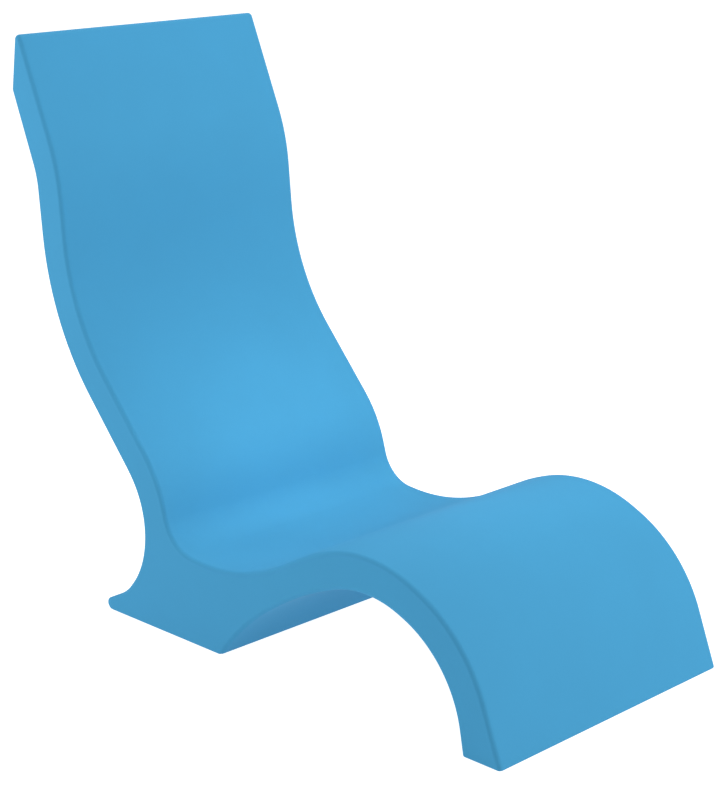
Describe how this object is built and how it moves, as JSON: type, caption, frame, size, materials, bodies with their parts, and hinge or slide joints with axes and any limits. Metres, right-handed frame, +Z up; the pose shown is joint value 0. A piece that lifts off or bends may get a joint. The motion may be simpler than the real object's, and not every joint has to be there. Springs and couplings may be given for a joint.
{
  "type": "in-pool sun lounger",
  "caption": "Low lounge chair for a shallow pool ledge: one hollow moulded shell with a raised back, a seat dip, a knee hump and screw plugs for its ballast water.",
  "frame": {"origin": "on the floor under the middle of the chair's box", "axes": "+X from the back to the foot, so the sitter looks along +X; +Y across; +Z up"},
  "size_m": [1.181, 0.559, 1.0317],
  "materials": {
    "shell_blue": "matt rotationally moulded polyethylene with a fine pebbled skin",
    "insert_grey": "machined grey polymer insert",
    "gasket_black": "black rubber",
    "plug_blue": "injection moulded polyethylene, a little smoother than the shell"
  },
  "bodies": {
    "shell": {"moulded_shell": "shell_blue", "fill_insert": "insert_grey", "drain_insert": "insert_grey"},
    "fill_gasket": {"fill_gasket": "gasket_black"},
    "fill_plug": {"fill_plug": "plug_blue"},
    "drain_gasket": {"drain_gasket": "gasket_black"},
    "drain_plug": {"drain_plug": "plug_blue"}
  },
  "joints": [
    {"name": "fill_plug_rise", "type": "slide", "parent": "shell", "child": "fill_gasket", "axis": [-0.9877, 0, 0.1564], "range_m": [0, 0.009]},
    {"name": "fill_plug_turn", "type": "hinge", "parent": "fill_gasket", "child": "fill_plug", "pos_m": [-0.57221, 0, 0.96972], "axis": [-0.9877, 0, 0.1564], "range_deg": [0, 1080]},
    {"name": "drain_plug_rise", "type": "slide", "parent": "shell", "child": "drain_gasket", "axis": [0, 0, -1], "range_m": [0, 0.009]},
    {"name": "drain_plug_turn", "type": "hinge", "parent": "drain_gasket", "child": "drain_plug", "pos_m": [-0.20387, 0, 0.0235], "axis": [0, 0, -1], "range_deg": [0, 1080]}
  ],
  "couplings": [
    {"joint": "fill_plug_rise", "follows": "fill_plug_turn", "m_per_rad": 0.00047746},
    {"joint": "drain_plug_rise", "follows": "drain_plug_turn", "m_per_rad": 0.00047746}
  ]
}
